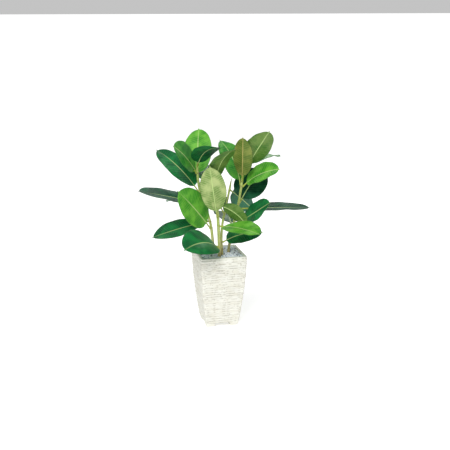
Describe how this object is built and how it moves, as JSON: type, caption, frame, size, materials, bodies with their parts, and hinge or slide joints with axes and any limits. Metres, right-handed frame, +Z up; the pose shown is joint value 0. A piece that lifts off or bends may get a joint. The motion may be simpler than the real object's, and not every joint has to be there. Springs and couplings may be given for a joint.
{
  "type": "potted rubber plant",
  "caption": "Rubber plant with broad pointed leaves on slender stems, in a tapered square planter with a stacked-stone face and small stones on top.",
  "frame": {"origin": "on the floor under the middle of the whole plant's box; the planter's axis is 8 mm to the -X side of it", "axes": "+Z up; the planter's faces look along X and Y; -Y is the front"},
  "size_m": [0.5477, 0.3959, 0.619],
  "materials": {
    "planter_stone": "matte ivory stacked-stone face",
    "soil": "moist potting soil",
    "small_stones": "small pale pebbles",
    "stem_bark": "smooth green to brown bark",
    "leaf_bright": "glossy young green",
    "leaf_dark": "glossy blackish green",
    "leaf_deep": "glossy deep green",
    "leaf_mid": "glossy mid green",
    "leaf_olive": "satin olive underside",
    "leaf_pale": "satin pale underside",
    "leaf_teal": "satin grey-green underside",
    "leaf_warm": "satin brown-olive underside"
  },
  "bodies": {
    "root": {"main_stem": "stem_bark", "slim_stem": "stem_bark", "right_stem": "stem_bark", "left_stem": "stem_bark", "planter": "planter_stone", "soil": "soil", "top_dressing": "small_stones", "leaf_left_crown_tall": "leaf_bright", "leaf_left_crown_side": "leaf_mid", "leaf_left_crown_front": "leaf_deep", "leaf_left_upper": "leaf_deep", "leaf_left_long": "leaf_dark", "leaf_left_broad": "leaf_bright", "leaf_left_lower": "leaf_deep", "leaf_front_low": "leaf_deep", "leaf_centre_upright": "leaf_pale", "leaf_centre_high": "leaf_olive", "leaf_right_crown_inner": "leaf_mid", "leaf_right_crown_tall": "leaf_olive", "leaf_right_crown_front": "leaf_warm", "leaf_right_bright": "leaf_bright", "leaf_right_dark": "leaf_dark", "leaf_right_lower": "leaf_deep", "leaf_right_long": "leaf_dark", "leaf_front_right_low": "leaf_deep", "leaf_front_right": "leaf_bright", "leaf_centre_hanging": "leaf_olive", "leaf_right_hanging": "leaf_teal", "leaf_back_left_high": "leaf_deep", "leaf_back_left_low": "leaf_deep", "leaf_back_right_high": "leaf_mid", "leaf_back_right_low": "leaf_deep", "leaf_back_middle": "leaf_dark"}
  },
  "joints": []
}
